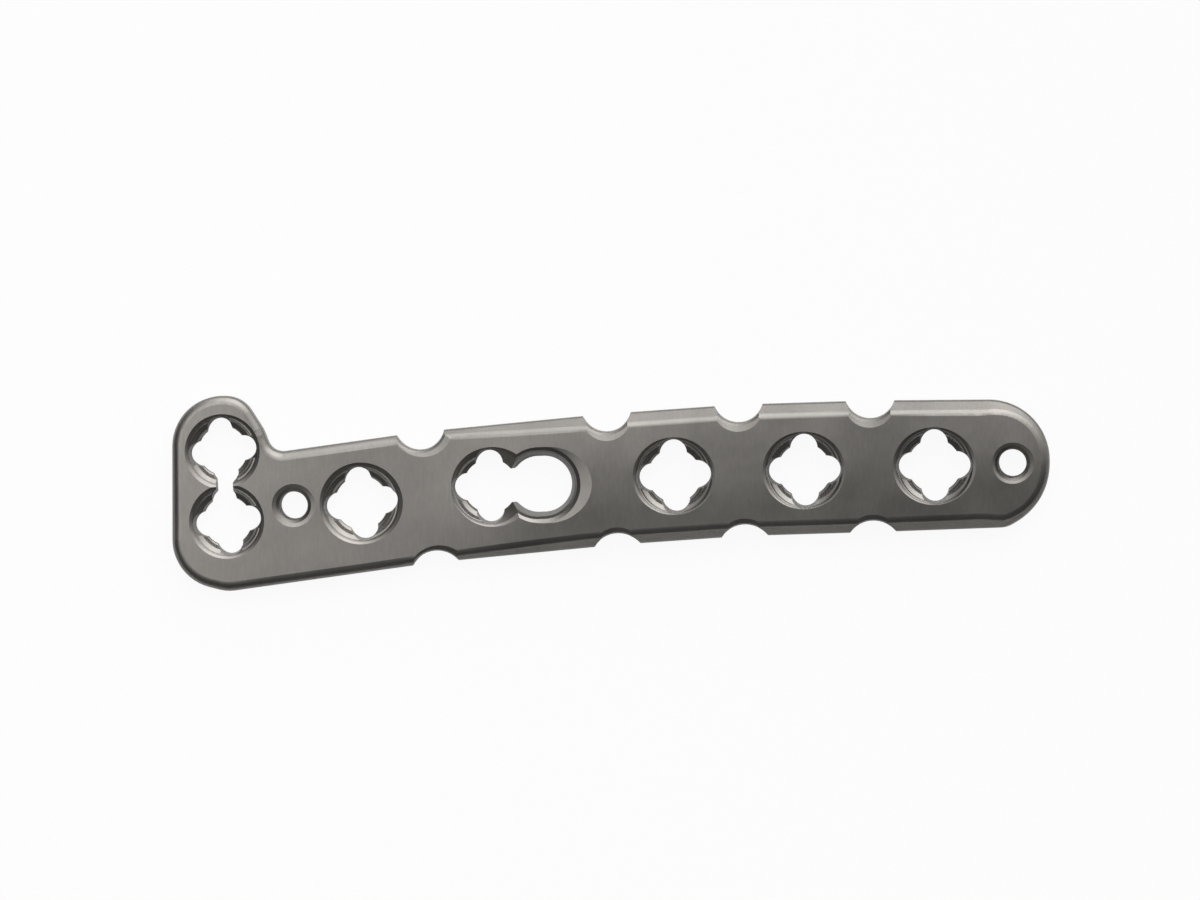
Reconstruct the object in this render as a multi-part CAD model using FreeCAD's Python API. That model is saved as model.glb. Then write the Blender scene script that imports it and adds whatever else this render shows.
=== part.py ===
import FreeCAD, Part
import math
import os

# Low-profile locking bone plate with an L-shaped head, one solid milled from bar.
# Millimetres. The bone side is the plane z = 0, +Z points away from the bone,
# and +X runs along the shaft from the head to the thin tip.

# Shaft: one straight stretch for each hole, with a slight bend at each notch
hole_pitch = 8.07
slot_travel = 3.34          # from the locking end of the combination hole to its round end
slot_spare = 0.1            # that hole's stretch is longer than the others by both
notch_lead = 0.14           # each notch lies this much past the middle between two holes
shaft_width = 8.15
tip_narrowing = 0.25        # the plate is narrower by this across the tip wire hole
first_heading = 8.1         # degrees from +X, of the stretch beside the head
bend_angles = (-2.45, -1.55, -2.25, -0.5)
bend_radius = 35.0
hole_side_steps = (0.22, 0.32, -0.03, -0.10, -0.03)  # off the middle line, hole by hole
combination_turn = -3.5     # degrees, of the combination hole against its stretch

# Heights above the bone side
head_thickness = 1.47
shaft_thickness = 2.0
tip_thickness = 1.42
wall_height = 1.13          # of the upright side wall, the same all round
head_crown_radius = 500.0
shaft_crown_radius = 38.0

# Rim of the plate: a bevel at 45 degrees rises from the side wall to the top
shoulder_radius = 0.6       # between bevel and top
edge_radius = 0.32          # between side wall and bevel
bone_edge_chamfer = 0.2

# Head: each margin is the distance from the middle of the nearest hole to that side
head_wire_step = 0.27       # from the head wire hole forward to the start of the first stretch
head_wire_side = 0.67
head_hole_step = 4.53       # from the lower head hole to the start of the first stretch
head_hole_side = 0.27
head_hole_spacing = 4.39
head_hole_lean = 93.65      # degrees from +X, of the line through the two head holes
head_left_margin = 3.15
head_top_margin = 3.4
head_top_heading = -2.9     # degrees
lobe_radius = 3.13
lobe_corner_radius = 1.9
lobe_side_margin = 2.84
lobe_side_heading = -57.5
neck_side_heading = -69.0
neck_side_radius = 2.5
neck_radius = 0.98          # in the corner between head and shaft
heel_margin = 4.26
heel_heading = -14.0
heel_radius = 3.05
heel_end_radius = 2.5

# Tip
tip_wire_step = 4.85        # from the last shaft hole to the tip wire hole
tip_wire_side = 0.04
tip_margin = 2.29
tip_upper_radius = 3.76
tip_lower_radius = 4.15
chin_inset = 0.69           # from the wire hole's distance to the long edge to its distance to the chin
chin_heading = 31.0
chin_radius = 1.5
tip_fall_lead = 2.0         # the top falls from here to the tip, before the tip wire hole
tip_fall_ease = 1.2         # length over which the fall sets in

# Locking hole for the shaft screw: a round seat, four round lobes and a column between
# each two lobes; the head takes the next smaller screw
seat_radius = 2.56
seat_lip_width = 0.16
seat_lip_depth = 0.08
column_radius = 1.7
seat_steepness = 1.0        # rise over run of the seat's cone, from the columns to the lip
column_floor = 0.45         # from the bone side to the upright part of the columns
relief_radius = 2.05        # of the widening on the bone side
lobe_hole_radius = 0.8      # at the bone side
lobe_lean = 0.08            # how much wider each mm of height makes a lobe's radius
lobe_hole_offset = 1.42
head_hole_scale = 0.915
head_throat_width = 1.05    # of the passage between the two head holes

# Round end of the combination hole
slot_radius = 1.74
slot_stretch = 0.33
slot_mouth_radius = 1.93    # below the lip, because the wall leans out
slot_lip_radius = 0.7
slot_throat_width = 2.1     # of the passage to the locking end

# Wire holes
wire_hole_radius = 0.85
wire_lip_radius = 0.5
lip_cone_length = 0.28      # a lip is rounded in ever flatter cones, none longer than this

# Notches in the two long edges
upper_notch_radius = 1.6
upper_notch_depth = 1.1
lower_notch_radius = 1.75
lower_notch_depth = 0.74
upper_notch_lip = 0.4       # radius that rounds the edge between notch and top
lower_notch_lip = 0.3

# Grid on which the crowned top is worked out, and points at which the rim is measured
top_columns = 45
top_rows = 5
rim_samples = 300

bevel_room = 0.97           # share of the bevel that its two roundings may take up
over = 1.0                  # reach of a cutter past what it cuts
tiny = 1e-3                 # closer lengths are equal; also the step that measures a slope
shortest_line = 0.05        # between two arcs of the outline


def polar(degrees, length=1.0):
    angle = math.radians(degrees)
    return FreeCAD.Vector(length * math.cos(angle), length * math.sin(angle), 0)


def beside(point, heading, forward, left):
    """The point that lies so far forward and to the left of a point, along a heading."""
    return point + polar(heading, forward) + polar(heading + 90, left)


def meet(line_a, line_b):
    """Where two lines cross, each given as a point and a heading."""
    a = polar(line_a[1])
    b = polar(line_b[1])
    gap = line_b[0] - line_a[0]
    along = (gap.x * b.y - gap.y * b.x) / (a.x * b.y - a.y * b.x)
    return line_a[0] + a * along


def corner_reaches(corners, half_turns):
    """How far each arc reaches along the lines beside it: less where a line is too short."""
    reaches = []
    for (point, radius), half_turn in zip(corners, half_turns):
        reaches.append(radius * math.tan(half_turn))
    shares = []
    for i, (point, radius) in enumerate(corners):
        line = point.distanceToPoint(corners[i - 1][0]) - shortest_line
        shares.append(min(1, line / (reaches[i - 1] + reaches[i])))
    shares.append(shares[0])
    return [reach * min(shares[i], shares[i + 1]) for i, reach in enumerate(reaches)]


def rounded_outline(corners):
    """A closed wire through (point, radius) corners, each one a tangent arc."""
    ways = []
    half_turns = []
    for i, (point, radius) in enumerate(corners):
        towards = (corners[i - 1][0] - point).normalize()
        away = (corners[(i + 1) % len(corners)][0] - point).normalize()
        ways.append((towards, away))
        half_turns.append((math.pi - towards.getAngle(away)) / 2)
    arcs = []
    for i, reach in enumerate(corner_reaches(corners, half_turns)):
        point = corners[i][0]
        towards, away = ways[i]
        sag = reach * math.tan(half_turns[i] / 2)
        inward = (towards + away).normalize()
        arcs.append((point + towards * reach, point + inward * sag, point + away * reach))
    edges = []
    for i, arc in enumerate(arcs):
        edges.append(Part.Arc(*arc).toShape())
        edges.append(Part.LineSegment(arc[2], arcs[(i + 1) % len(arcs)][0]).toShape())
    return Part.Wire(edges)


tip_width = shaft_width - tip_narrowing

# Middle line of the shaft, from beside the head wire hole to the tip wire hole
headings = [first_heading]
for bend_angle in bend_angles:
    headings.append(headings[-1] + bend_angle)
hole_station = hole_pitch / 2 - notch_lead
stretches = [hole_pitch] * len(headings)
stretches[1] += slot_travel + slot_spare
stretches[-1] = hole_station + tip_wire_step
knots = [FreeCAD.Vector(0, 0, 0)]
for heading, stretch in zip(headings, stretches):
    knots.append(knots[-1] + polar(heading, stretch))

shaft_holes = [
    beside(knots[i], headings[i], hole_station, hole_side_steps[i])
    for i in range(len(headings))
]
head_wire_hole = beside(knots[0], first_heading, -head_wire_step, head_wire_side)
tip_wire_hole = beside(knots[-1], headings[-1], 0, tip_wire_side)
lower_head_hole = beside(knots[0], first_heading, -head_hole_step, head_hole_side)
upper_head_hole = lower_head_hole + polar(head_hole_lean, head_hole_spacing)


def edge_lines(side):
    """The straight runs of one long edge, with side 1 for the upper and -1 for the lower."""
    lines = []
    for i, heading in enumerate(headings):
        width = shaft_width
        lean = 0
        if i == len(headings) - 1:
            width = (shaft_width + tip_width) / 2
            lean = math.degrees(math.atan((tip_width - shaft_width) / 2 / stretches[i]))
        middle = knots[i] + polar(heading, stretches[i] / 2)
        lines.append((beside(middle, heading, 0, side * width / 2), heading + side * lean))
    return lines


def plate_corners():
    """All corners of the outline seen from above, clockwise from the head's upper left."""
    left = (upper_head_hole - FreeCAD.Vector(head_left_margin, 0, 0), 90)
    top = (beside(upper_head_hole, head_top_heading, 0, head_top_margin), head_top_heading)
    lobe = (beside(upper_head_hole, lobe_side_heading, 0, lobe_side_margin), lobe_side_heading)
    neck = (beside(upper_head_hole, neck_side_heading, 0, lobe_side_margin), neck_side_heading)
    heel = (beside(lower_head_hole, heel_heading, 0, -heel_margin), heel_heading)
    end = (tip_wire_hole + FreeCAD.Vector(tip_margin, 0, 0), 90)
    chin_margin = tip_width / 2 - chin_inset
    chin = (beside(tip_wire_hole, chin_heading, 0, -chin_margin), chin_heading)
    upper = edge_lines(1)
    lower = edge_lines(-1)
    corners = [
        (meet(left, top), lobe_radius),
        (meet(top, lobe), lobe_corner_radius),
        (meet(lobe, neck), neck_side_radius),
        (meet(neck, upper[0]), neck_radius),
    ]
    for before, after in zip(upper, upper[1:]):
        corners.append((meet(before, after), bend_radius))
    corners.append((meet(upper[-1], end), tip_upper_radius))
    corners.append((meet(end, chin), tip_lower_radius))
    corners.append((meet(chin, lower[-1]), chin_radius))
    lower.reverse()
    for before, after in zip(lower, lower[1:]):
        corners.append((meet(before, after), bend_radius))
    corners.append((meet(lower[-1], heel), heel_end_radius))
    corners.append((meet(heel, left), heel_radius))
    return corners


def ease(value, start, end):
    """Rises smoothly from 0 to 1 between start and end."""
    t = min(max((value - start) / (end - start), 0), 1)
    return t * t * (3 - 2 * t)


def eased_ramp(length):
    """0 up to length 0, then bends smoothly into a straight rise as steep as 1."""
    if length < tip_fall_ease:
        return max(length, 0) ** 2 / (2 * tip_fall_ease)
    return length - tip_fall_ease / 2


def middle_at(x):
    """The y of the middle line at x."""
    for i, heading in enumerate(headings):
        if x < knots[i + 1].x or i == len(headings) - 1:
            return knots[i].y + (x - knots[i].x) * math.tan(math.radians(heading))


def top_height(x, y):
    """Height of the top above the bone side: thin head, thicker shaft, falling tip."""
    grown = ease(x, shaft_holes[0].x, knots[2].x)
    height = head_thickness + (shaft_thickness - head_thickness) * grown
    fall_start = tip_wire_hole.x - tip_fall_lead
    fallen = eased_ramp(x - fall_start) / eased_ramp(tip_fall_lead + tip_margin)
    height -= (shaft_thickness - tip_thickness) * fallen
    curvature = (1 - grown) / head_crown_radius + grown / shaft_crown_radius
    return height - curvature * (y - middle_at(x)) ** 2 / 2


def above_top(outline):
    """Everything above the crowned top, as a cutter."""
    box = outline.BoundBox
    grid = []
    for i in range(top_columns):
        x = box.XMin - over + (box.XLength + 2 * over) * i / (top_columns - 1)
        line = []
        for j in range(top_rows):
            y = box.YMin - over + (box.YLength + 2 * over) * j / (top_rows - 1)
            line.append(FreeCAD.Vector(x, y, top_height(x, y)))
        grid.append(line)
    surface = Part.BSplineSurface()
    surface.interpolate(grid)
    return surface.toShape().extrude(FreeCAD.Vector(0, 0, shaft_thickness))


def level_edges(shape, height):
    """The edges that lie wholly at one height."""
    found = []
    for edge in shape.Edges:
        box = edge.BoundBox
        if abs(box.ZMin - height) < tiny and abs(box.ZMax - height) < tiny:
            found.append(edge)
    return found


def rounding_share(outline):
    """How much of the two radii of the rim has room on the lowest bevel: 1 where both have."""
    points = outline.discretize(rim_samples)
    lowest = min(top_height(point.x, point.y) for point in points)
    bevel = (lowest - wall_height) * math.sqrt(2)
    needed = (shoulder_radius + edge_radius) * math.tan(math.pi / 8)
    return min(1, bevel_room * bevel / needed)


def blank(outline):
    """The plate before its notches and holes, with bevel, crown and rounded rim."""
    share = rounding_share(outline)
    height = shaft_thickness + shoulder_radius / 4
    plate = Part.Face(outline).extrude(FreeCAD.Vector(0, 0, height))
    plate = plate.makeChamfer(height - wall_height, level_edges(plate, height))
    plate = plate.makeFillet(edge_radius * share, level_edges(plate, wall_height))
    plate = plate.makeChamfer(bone_edge_chamfer, level_edges(plate, 0))
    plate = plate.cut(above_top(outline))
    upper = [face for face in plate.Faces if face.CenterOfMass.z > wall_height]
    top = max(upper, key=lambda face: face.Area)
    return plate.makeFillet(shoulder_radius * share, top.OuterWire.Edges)


def column(centre, radius, lean=0):
    """A round cutter right through the plate, with its radius at the bone side."""
    top = shaft_thickness + over
    profile = [(0, -over), (radius - lean * over, -over), (radius + lean * top, top), (0, top)]
    return turned(centre, profile)


def passage(centre, heading, length, width):
    """A straight cutter right through the plate, from the middle of one hole to another."""
    corner = FreeCAD.Vector(0, -width / 2, -over)
    box = Part.makeBox(length, width, shaft_thickness + 2 * over, corner)
    box.rotate(FreeCAD.Vector(0, 0, 0), FreeCAD.Vector(0, 0, 1), heading)
    return box.translated(centre)


def turned(centre, profile):
    """A solid of revolution about the upright line through centre, from (radius, z) points."""
    points = [FreeCAD.Vector(radius, 0, z) for radius, z in profile]
    face = Part.Face(Part.makePolygon(points + points[:1]))
    solid = face.revolve(FreeCAD.Vector(0, 0, 0), FreeCAD.Vector(0, 0, 1), 360)
    return solid.translated(centre)


def lip_profile(rim, mouth_radius, lip_radius):
    """The cones of a rounded lip, from the wall upwards, closed over the middle above."""
    profile = []
    cones = math.ceil(math.pi / 2 * lip_radius / lip_cone_length)
    for k in range(cones):
        angle = math.pi / 2 * k / cones
        radius = mouth_radius + lip_radius * (1 - math.cos(angle))
        depth = lip_radius * (1 - math.sin(angle))
        profile.append((radius, rim - depth))
    last_slope = (mouth_radius + lip_radius - radius) / depth
    profile.append((mouth_radius + lip_radius + last_slope * over, rim + over))
    profile.append((0, rim + over))
    return profile


def bored(centre, rim, foot_radius, mouth_radius, lip_radius):
    """The cutter of a round hole: its wall, which may lean, and its lip."""
    lean = (mouth_radius - foot_radius) / (rim - lip_radius)
    foot = [(0, -over), (foot_radius - lean * over, -over)]
    return turned(centre, foot + lip_profile(rim, mouth_radius, lip_radius))


def wire_hole(centre):
    """The cutters of a wire hole: the upright bore, and its lip, square to the top."""
    rim = top_height(centre.x, centre.y)
    lip = lip_profile(0, wire_hole_radius, wire_lip_radius)
    first_slope = (lip[1][0] - lip[0][0]) / (lip[1][1] - lip[0][1])
    depth = 2 * wire_lip_radius
    start = (wire_hole_radius - first_slope * wire_lip_radius, -depth)
    cutter = turned(FreeCAD.Vector(0, 0, 0), [(0, -depth), start] + lip[1:])
    rise_x = top_height(centre.x + tiny, centre.y) - top_height(centre.x - tiny, centre.y)
    rise_y = top_height(centre.x, centre.y + tiny) - top_height(centre.x, centre.y - tiny)
    square = FreeCAD.Vector(-rise_x, -rise_y, 2 * tiny)
    tilt = FreeCAD.Rotation(FreeCAD.Vector(0, 0, 1), square)
    cutter.Placement = FreeCAD.Placement(centre + FreeCAD.Vector(0, 0, rim), tilt)
    return [column(centre, wire_hole_radius), cutter]


def notch(knot, heading, side, radius, depth, lip_radius):
    """The cutter of a round notch into the edge beside a knot, left of it for side 1."""
    bottom = beside(knot, heading, 0, side * (shaft_width / 2 - depth))
    centre = beside(bottom, heading, 0, side * radius)
    return bored(centre, top_height(bottom.x, bottom.y), radius, radius, lip_radius)


def notches():
    """The cutters of the notches, one into each long edge at each bend."""
    cutters = []
    for i in range(1, len(knots) - 1):
        heading = (headings[i - 1] + headings[i]) / 2
        upper = (1, upper_notch_radius, upper_notch_depth, upper_notch_lip)
        lower = (-1, lower_notch_radius, lower_notch_depth, lower_notch_lip)
        cutters.append(notch(knots[i], heading, *upper))
        cutters.append(notch(knots[i], heading, *lower))
    return cutters


def locking_hole(centre, heading, scale):
    """The cutters of a locking hole: seat and relief turned, lobes set round the middle."""
    rim = top_height(centre.x, centre.y)
    neck = column_radius * scale
    mouth = seat_radius * scale
    seat_top = rim - seat_lip_depth
    column_top = seat_top - seat_steepness * (mouth - seat_lip_width - neck)
    lip_slope = seat_lip_width / seat_lip_depth
    relief_slope = (relief_radius * scale - neck) / column_floor
    profile = [
        (0, -over),
        (neck + relief_slope * (column_floor + over), -over),
        (neck, column_floor),
        (neck, column_top),
        (mouth - seat_lip_width, seat_top),
        (mouth + lip_slope * over, rim + over),
        (0, rim + over),
    ]
    cutters = [turned(centre, profile)]
    for quarter in range(4):
        lobe = centre + polar(heading + 90 * quarter, lobe_hole_offset * scale)
        cutters.append(column(lobe, lobe_hole_radius * scale, lobe_lean))
    return cutters


def slot(centre, heading):
    """The cutters of the round end of the combination hole, and of the passage to it."""
    cutters = [passage(centre, heading, slot_travel - slot_stretch, slot_throat_width)]
    for travel in (slot_travel - slot_stretch, slot_travel):
        end = centre + polar(heading, travel)
        rim = top_height(end.x, end.y)
        cutters.append(bored(end, rim, slot_radius, slot_mouth_radius, slot_lip_radius))
    return cutters


def holes():
    """The cutters of every hole: the locking holes, the round end of one, the wire holes."""
    locking = [(centre, heading, 1) for centre, heading in zip(shaft_holes, headings)]
    combination, heading, scale = locking[1]
    heading += combination_turn
    locking[1] = (combination, heading, scale)
    for centre in (upper_head_hole, lower_head_hole):
        locking.append((centre, first_heading, head_hole_scale))
    cutters = slot(combination, heading)
    between = (lower_head_hole, head_hole_lean, head_hole_spacing)
    cutters.append(passage(*between, head_throat_width))
    for hole in locking:
        cutters += locking_hole(*hole)
    return cutters + wire_hole(head_wire_hole) + wire_hole(tip_wire_hole)


os.makedirs("parts", exist_ok=True)
outline = rounded_outline(plate_corners())
plate = blank(outline).cut(notches() + holes())
middle = outline.BoundBox.Center
plate.translate(FreeCAD.Vector(-middle.x, -middle.y, 0))
plate.Solids[0].exportStep("parts/bone_plate.step")
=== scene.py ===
import math

import bpy
import numpy as np
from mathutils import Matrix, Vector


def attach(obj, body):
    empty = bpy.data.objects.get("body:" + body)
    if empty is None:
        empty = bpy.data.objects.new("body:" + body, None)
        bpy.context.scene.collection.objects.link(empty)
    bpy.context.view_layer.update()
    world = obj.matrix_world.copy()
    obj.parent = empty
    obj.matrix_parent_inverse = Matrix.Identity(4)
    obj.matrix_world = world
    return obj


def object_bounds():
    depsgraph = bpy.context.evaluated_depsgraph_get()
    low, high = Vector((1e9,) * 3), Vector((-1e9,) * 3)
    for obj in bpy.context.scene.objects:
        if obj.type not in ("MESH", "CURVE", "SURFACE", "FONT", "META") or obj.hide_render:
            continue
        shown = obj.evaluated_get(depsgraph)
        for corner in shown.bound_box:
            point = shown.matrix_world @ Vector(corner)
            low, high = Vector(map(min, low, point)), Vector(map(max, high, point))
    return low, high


# Finish, screw thread, floor, camera and light for the small bone plate.
# Metres in the plate's own frame, except where a note says mm.

print("stage: load the packed plate")
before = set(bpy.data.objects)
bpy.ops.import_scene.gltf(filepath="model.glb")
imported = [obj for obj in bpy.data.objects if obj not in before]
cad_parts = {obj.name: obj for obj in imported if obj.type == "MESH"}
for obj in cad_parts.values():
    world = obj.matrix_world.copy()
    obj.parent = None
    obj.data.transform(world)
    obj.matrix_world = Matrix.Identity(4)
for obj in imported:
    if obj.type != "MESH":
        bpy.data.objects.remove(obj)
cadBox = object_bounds()
mm = 0.001


# a node of a material or world, with its input values or else its settings by name
def addNode(tree, kind, **values):
    node = tree.nodes.new(kind)
    for name, value in values.items():
        if name in node.inputs:
            node.inputs[name].default_value = value
        else:
            setattr(node, name, value)
    return node


# the result of a sum on sockets or numbers, in the order of the node's inputs
def addMath(tree, operation, *terms):
    node = addNode(tree, "ShaderNodeMath", operation=operation)
    for place, term in enumerate(terms):
        if isinstance(term, bpy.types.NodeSocket):
            tree.links.new(term, node.inputs[place])
        else:
            node.inputs[place].default_value = term
    return node.outputs[0]


print("stage: metal")
metal = {
    "colour": (0.262, 0.249, 0.233),     # warm grey
    "roughness": 0.34,
    "roughnessSwing": 0.03,  # either way, with the clouds
    "grainLong": 1400.0,     # per metre, along the grain
    "grainAcross": 6000.0,   # per metre, across it
    "grainDetail": 3.0,
    "grainRoughness": 0.6,
    "grainShade": 0.05,      # how much the grain changes the colour, either way
    "cloudScale": 260.0,     # per metre
    "cloudDetail": 4.0,
    "cloudRoughness": 0.55,
    "cloudShade": 0.10,
    "noiseLow": 0.3,         # the noises mostly stay between these
    "noiseHigh": 0.7,
    "bumpHeight": 0.004 * mm,
    "bumpStrength": 0.35,
}


# a noise turned into values around a middle, by a swing either way
def swung(tree, noise, look, middle, swing):
    node = addNode(tree, "ShaderNodeMapRange")
    node.inputs["From Min"].default_value = look["noiseLow"]
    node.inputs["From Max"].default_value = look["noiseHigh"]
    node.inputs["To Min"].default_value = middle - swing
    node.inputs["To Max"].default_value = middle + swing
    tree.links.new(noise.outputs["Fac"], node.inputs["Value"])
    return node.outputs[0]


# satin metal: fine grain across the plate, soft clouds in colour and gloss, faint bump
def satinMetal(name, look):
    material = bpy.data.materials.new(name)
    material.use_nodes = True
    tree = material.node_tree
    shader = tree.nodes["Principled BSDF"]
    shader.inputs["Metallic"].default_value = 1
    place = addNode(tree, "ShaderNodeTexCoord")
    stretch = addNode(tree, "ShaderNodeMapping")
    stretch.inputs["Scale"].default_value = (look["grainAcross"], look["grainLong"], look["grainAcross"])
    grain = addNode(tree, "ShaderNodeTexNoise", Scale=1.0)
    grain.inputs["Detail"].default_value = look["grainDetail"]
    grain.inputs["Roughness"].default_value = look["grainRoughness"]
    clouds = addNode(tree, "ShaderNodeTexNoise", Scale=look["cloudScale"])
    clouds.inputs["Detail"].default_value = look["cloudDetail"]
    clouds.inputs["Roughness"].default_value = look["cloudRoughness"]
    tree.links.new(place.outputs["Object"], stretch.inputs["Vector"])
    tree.links.new(stretch.outputs[0], grain.inputs["Vector"])
    tree.links.new(place.outputs["Object"], clouds.inputs["Vector"])
    grainShade = swung(tree, grain, look, 1, look["grainShade"])
    cloudShade = swung(tree, clouds, look, 1, look["cloudShade"])
    colour = addNode(tree, "ShaderNodeVectorMath", operation="SCALE")
    colour.inputs[0].default_value = look["colour"]
    tree.links.new(addMath(tree, "MULTIPLY", grainShade, cloudShade), colour.inputs["Scale"])
    tree.links.new(colour.outputs[0], shader.inputs["Base Color"])
    gloss = swung(tree, clouds, look, look["roughness"], look["roughnessSwing"])
    tree.links.new(gloss, shader.inputs["Roughness"])
    bump = addNode(tree, "ShaderNodeBump", Strength=look["bumpStrength"], Distance=look["bumpHeight"])
    tree.links.new(grain.outputs["Fac"], bump.inputs["Height"])
    tree.links.new(bump.outputs[0], shader.inputs["Normal"])
    return material


steel = satinMetal("steel", metal)
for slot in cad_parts["bone_plate"].material_slots:
    slot.material = steel

print("stage: thread")
# sizes of a screw hole of the shaft in mm; those of the head are smaller by their scale
seat = {
    "mouth": 2.56,
    "lipWidth": 0.16,
    "lipDepth": 0.08,
    "neck": 1.7,
    "foot": 0.45,            # height at which the upright part of a column starts
    "lobeRadius": 0.8,
    "lobeLean": 0.08,        # gain of the lobe's radius with height
    "lobeOffset": 1.42,
}
# sizes of the thread in mm
thread = {
    "pitch": 0.44,
    "start": 0.11,           # height of a groove at +X
    "ridge": 0.065,          # on the cone
    "uprightRidge": 0.03,    # on the upright part of a column
    "lift": 0.014,           # of a groove above the metal
    "sunk": 0.08,            # of the back into the metal
    "bend": 0.056,           # over which the strip turns from upright to the cone's slope
    "inset": 0.012,          # of each side from the lobe's wall
    "fade": 0.08,            # over which the ridges grow at both ends
    "end": 2.3,              # radius where the thread ends
    "rows": 64,
    "steps": 14,
    "sharpAngle": 50,        # degrees, past which an edge stays sharp
}
headScale = 0.915
# middle and top in mm, way of a lobe in degrees, scale, least half gap in degrees, columns
screwHoles = {
    "threadHeadUpper": (-24.1213, 2.6626, 1.448, 8.1, headScale, 20, (0, 1, 2, 3)),
    "threadHeadLower": (-23.8419, -1.7185, 1.4699, 8.1, headScale, 20, (0, 1, 2, 3)),
    "threadShaft1": (-15.4939, -0.5809, 1.47, 8.1, 1, 8, (0, 1, 2, 3)),
    "threadCombination": (-7.4849, 0.4915, 1.7444, 2.15, 1, 8, (1, 2)),
    "threadShaft3": (4.0117, 1.1713, 2.0, 4.1, 1, 8, (0, 1, 2, 3)),
    "threadShaft4": (12.0701, 1.5255, 2.0, 1.85, 1, 8, (0, 1, 2, 3)),
    "threadShaft5": (20.1343, 1.822, 2.0, 1.35, 1, 8, (0, 1, 2, 3)),
}


# corners and faces of a tube of closed loops, rows by loop: four-sided faces from loop to loop and
# a strip over each end, all turned round if the volume that they close comes out below nought
def closedTube(points):
    rows, loop = points.shape[:2]
    row, step = np.meshgrid(np.arange(rows - 1), np.arange(loop), indexing="ij")
    here = row * loop + step
    beside = row * loop + (step + 1) % loop
    sides = np.stack([here, beside, beside + loop, here + loop], -1)
    near = np.arange(loop // 2 - 1)
    cap = np.stack([near, loop - 1 - near, loop - 2 - near, near + 1], -1)
    faces = np.concatenate([sides.reshape(-1, 4), cap, cap[:, ::-1] + (rows - 1) * loop])
    corners = points.reshape(-1, 3)
    a, b, c, d = (corners[faces[:, k]] for k in range(4))
    volume = np.sum(np.cross(a, b) * c) + np.sum(np.cross(a, c) * d)
    return corners, faces if volume > 0 else faces[:, ::-1]


# the wall that a column's thread runs up, upright and then on the 45 degree cone, row by row:
# way along it, radius, height, and how far it has turned from upright to the cone's slope
def columnWall(top, scale, seat, look):
    neck = seat["neck"] * scale
    coneFoot = top - seat["lipDepth"] - (seat["mouth"] * scale - seat["lipWidth"] - neck)
    upright = coneFoot - seat["foot"]
    slant = (look["end"] * scale - neck) * math.sqrt(2)
    path = np.linspace(0, upright + slant, look["rows"])
    onCone = np.clip(path - upright, 0, None) / math.sqrt(2)
    height = seat["foot"] + np.minimum(path, upright) + onCone
    turned = np.clip((path - upright) / look["bend"] + 0.5, 0, 1)
    return path, neck + onCone, height, turned


# half the angle that a lobe takes up, where a circle round the hole meets the lobe's circle:
# its cosine is radius squared plus offset squared less lobe squared, over twice radius by offset
def lobeHalfGap(radius, height, scale, seat):
    lobe = seat["lobeRadius"] * scale + seat["lobeLean"] * height
    offset = seat["lobeOffset"] * scale
    cosine = (radius ** 2 + offset ** 2 - lobe ** 2) / (2 * radius * offset)
    return np.arccos(np.clip(cosine, -1, 1))


# one column's thread: its front stands off the wall by the lift and by the ridge times half of
# one minus the cosine of the phase, which grows by a turn for each pitch of height and falls by
# a turn round the hole; its back lies in the metal
def threadStrip(hole, column, seat, look):
    x, y, top, way, scale, leastGap, _ = hole
    path, radius, height, turned = columnWall(top, scale, seat, look)
    gap = lobeHalfGap(radius, height, scale, seat) + look["inset"] / radius
    gap = np.maximum(gap, math.radians(leastGap))[:, None]
    across = np.linspace(0, 1, look["steps"] + 1)
    angle = gap + (math.pi / 2 - 2 * gap) * across
    angle += math.radians(way) + math.pi / 2 * column
    phase = 2 * math.pi * (height[:, None] - look["start"]) / look["pitch"] - angle
    grown = np.clip(np.minimum(path, path[-1] - path) / look["fade"], 0, 1)
    ridge = grown * (look["uprightRidge"] + (look["ridge"] - look["uprightRidge"]) * turned)
    front = look["lift"] + ridge[:, None] * (0.5 - 0.5 * np.cos(phase))
    lift = np.concatenate([front, np.full_like(front, -look["sunk"])], 1)
    angle = np.concatenate([angle, angle[:, ::-1]], 1)
    lean = turned[:, None] * math.pi / 4
    reach = radius[:, None] - lift * np.cos(lean)
    rise = height[:, None] + lift * np.sin(lean)
    points = np.stack([x + reach * np.cos(angle), y + reach * np.sin(angle), rise], -1)
    return closedTube(points * mm)


# the strips on all threaded columns of a hole, as one piece
def makeThread(name, hole):
    corners, faces = [], []
    for column in hole[-1]:
        stripCorners, stripFaces = threadStrip(hole, column, seat, thread)
        faces.append(stripFaces + sum(len(strip) for strip in corners))
        corners.append(stripCorners)
    mesh = bpy.data.meshes.new(name)
    mesh.from_pydata(np.concatenate(corners).tolist(), [], np.concatenate(faces).tolist())
    mesh.polygons.foreach_set("use_smooth", np.ones(len(mesh.polygons), dtype=bool))
    mesh.set_sharp_from_angle(angle=math.radians(thread["sharpAngle"]))
    mesh.materials.append(steel)
    piece = bpy.data.objects.new(name, mesh)
    bpy.context.scene.collection.objects.link(piece)
    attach(piece, "root")


for name, hole in screwHoles.items():
    makeThread(name, hole)

print("stage: floor")
stage = {
    "size": 3.0,
    "drop": 0.02 * mm,
    "colour": (0.9, 0.9, 0.9, 1),
    "shownAsWhite": 0.93,    # share of plain white in what the camera sees
    "mirroredAsWhite": 0.05,  # the same in what the metal mirrors
}


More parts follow.
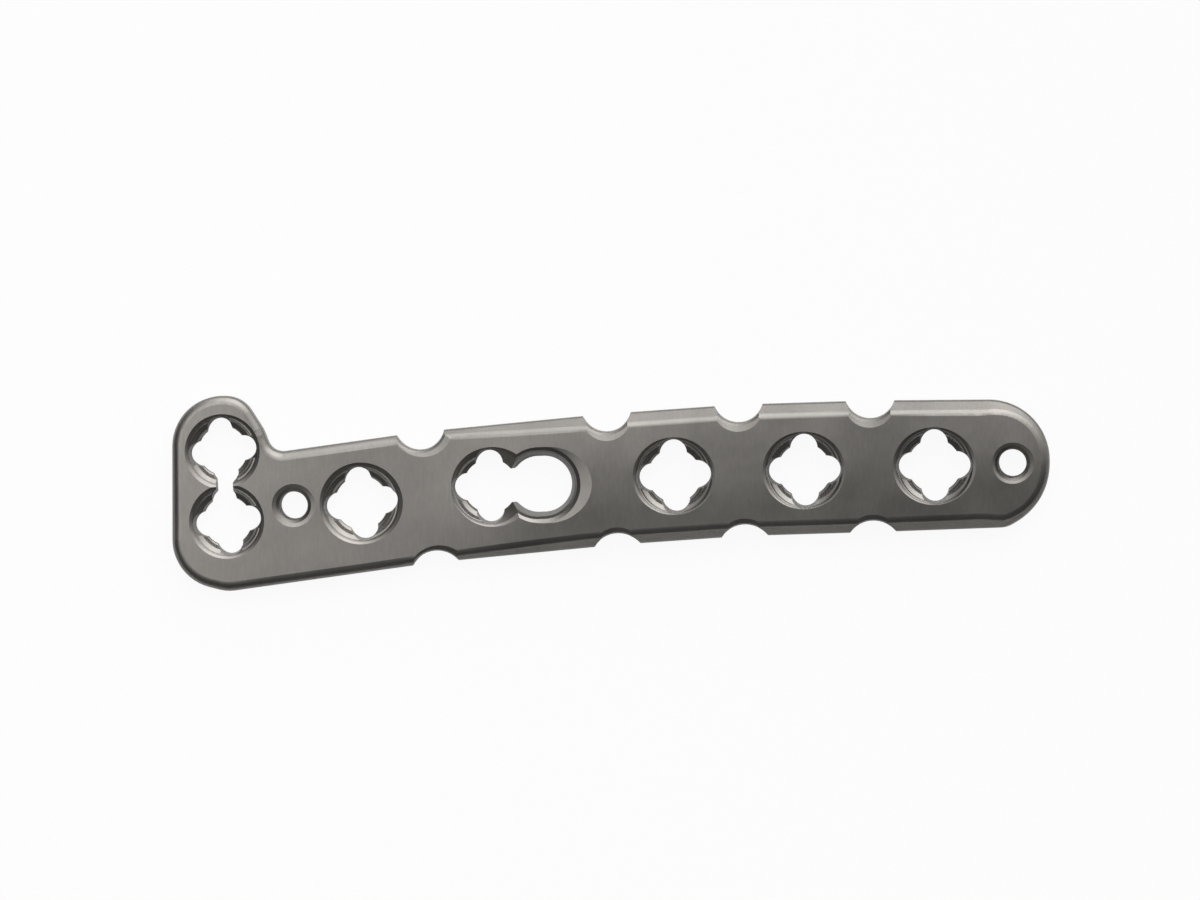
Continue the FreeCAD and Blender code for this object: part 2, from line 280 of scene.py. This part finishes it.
# pale paper, partly plain white to the camera and in what is mirrored or seen through
def paleFloor(look):
    material = bpy.data.materials.new("paleFloor")
    material.use_nodes = True
    tree = material.node_tree
    tree.nodes.clear()
    out = addNode(tree, "ShaderNodeOutputMaterial")
    paper = addNode(tree, "ShaderNodeBsdfDiffuse", Color=look["colour"])
    white = addNode(tree, "ShaderNodeEmission", Color=(1, 1, 1, 1), Strength=1.0)
    ray = addNode(tree, "ShaderNodeLightPath").outputs
    seen = addMath(tree, "MULTIPLY", ray["Is Camera Ray"], look["shownAsWhite"])
    indirect = addMath(tree, "MAXIMUM", ray["Is Glossy Ray"], ray["Is Transmission Ray"])
    mirrored = addMath(tree, "MULTIPLY", indirect, look["mirroredAsWhite"])
    mix = addNode(tree, "ShaderNodeMixShader")
    tree.links.new(addMath(tree, "MAXIMUM", seen, mirrored), mix.inputs["Fac"])
    tree.links.new(paper.outputs[0], mix.inputs[1])
    tree.links.new(white.outputs[0], mix.inputs[2])
    tree.links.new(mix.outputs[0], out.inputs["Surface"])
    return material


# one square, just under the plate
def makeFloor(look):
    half = look["size"] / 2
    height = cadBox[0][2] - look["drop"]
    corners = [(-half, -half, height), (half, -half, height), (half, half, height), (-half, half, height)]
    mesh = bpy.data.meshes.new("floor")
    mesh.from_pydata(corners, [], [(0, 1, 2, 3)])
    mesh.materials.append(paleFloor(look))
    floor = bpy.data.objects.new("floor", mesh)
    bpy.context.scene.collection.objects.link(floor)


makeFloor(stage)

print("stage: camera")
view = {
    "target": (-0.62 * mm, 2.75 * mm, 1.0 * mm),
    "distance": 0.6,
    "lean": (3.0, 2.0),      # degrees from straight above, towards +X and +Y
    "width": 74.5 * mm,      # seen at the target, across the photograph
    "sensorWidth": 36.0,     # mm
    "nearest": 0.01,
    "farthest": 20.0,
}


# the lens is the sensor's width times distance over the width seen
def makeCamera(look):
    lens = bpy.data.cameras.new("camera")
    lens.sensor_fit = "HORIZONTAL"
    lens.sensor_width = look["sensorWidth"]
    lens.lens = look["sensorWidth"] * look["distance"] / look["width"]
    lens.clip_start = look["nearest"]
    lens.clip_end = look["farthest"]
    camera = bpy.data.objects.new("camera", lens)
    bpy.context.scene.collection.objects.link(camera)
    leanX, leanY = (math.radians(angle) for angle in look["lean"])
    way = (math.cos(leanY) * math.sin(leanX), math.sin(leanY), math.cos(leanY) * math.cos(leanX))
    camera.location = [at + look["distance"] * step for at, step in zip(look["target"], way)]
    camera.rotation_euler = (-leanY, leanX, 0)
    bpy.context.scene.camera = camera


makeCamera(view)

print("stage: light")
headLamp = {"place": (-0.05, 0.015, 0.09), "size": (0.06, 0.08), "watts": 0.018}


# a soft rectangle of light that faces the middle of the plate
def addSoftbox(name, look):
    data = bpy.data.lights.new(name, "AREA")
    data.shape = "RECTANGLE"
    data.size, data.size_y = look["size"]
    data.energy = look["watts"]
    lamp = bpy.data.objects.new(name, data)
    bpy.context.scene.collection.objects.link(lamp)
    lamp.visible_camera = False
    lamp.location = look["place"]
    x, y, z = look["place"]
    lamp.rotation_euler = (0, math.acos(z / math.hypot(x, y, z)), math.atan2(y, x))


addSoftbox("headLamp", headLamp)

studio = {
    "room": 0.10,
    # each light: the way to its middle, its level there, and how fast it falls off
    "lights": [
        {"towards": (0.34, 0.90, 0.20), "level": 2.7, "power": 3},
        {"towards": (0.15, 0.65, 0.72), "level": 1.5, "power": 10},
        {"towards": (0.00, 0.00, 1.00), "level": 0.16, "power": 6},
    ],
}


# world: a dim room with soft lights, the room's level plus, for each light, its level times
# the cosine of the angle to it, to its power
def makeWorld(look):
    world = bpy.data.worlds.new("studio")
    bpy.context.scene.world = world
    world.use_nodes = True
    tree = world.node_tree
    background = tree.nodes["Background"]
    background.inputs["Color"].default_value = (1, 1, 1, 1)
    where = addNode(tree, "ShaderNodeTexCoord")
    total = look["room"]
    for light in look["lights"]:
        length = math.hypot(*light["towards"])
        facing = addNode(tree, "ShaderNodeVectorMath", operation="DOT_PRODUCT")
        facing.inputs[1].default_value = [step / length for step in light["towards"]]
        tree.links.new(where.outputs["Generated"], facing.inputs[0])
        above = addMath(tree, "MAXIMUM", facing.outputs["Value"], 0)
        fallen = addMath(tree, "POWER", above, light["power"])
        total = addMath(tree, "MULTIPLY_ADD", fallen, light["level"], total)
    tree.links.new(total, background.inputs["Strength"])


makeWorld(studio)
bpy.context.scene.view_settings.view_transform = "Standard"
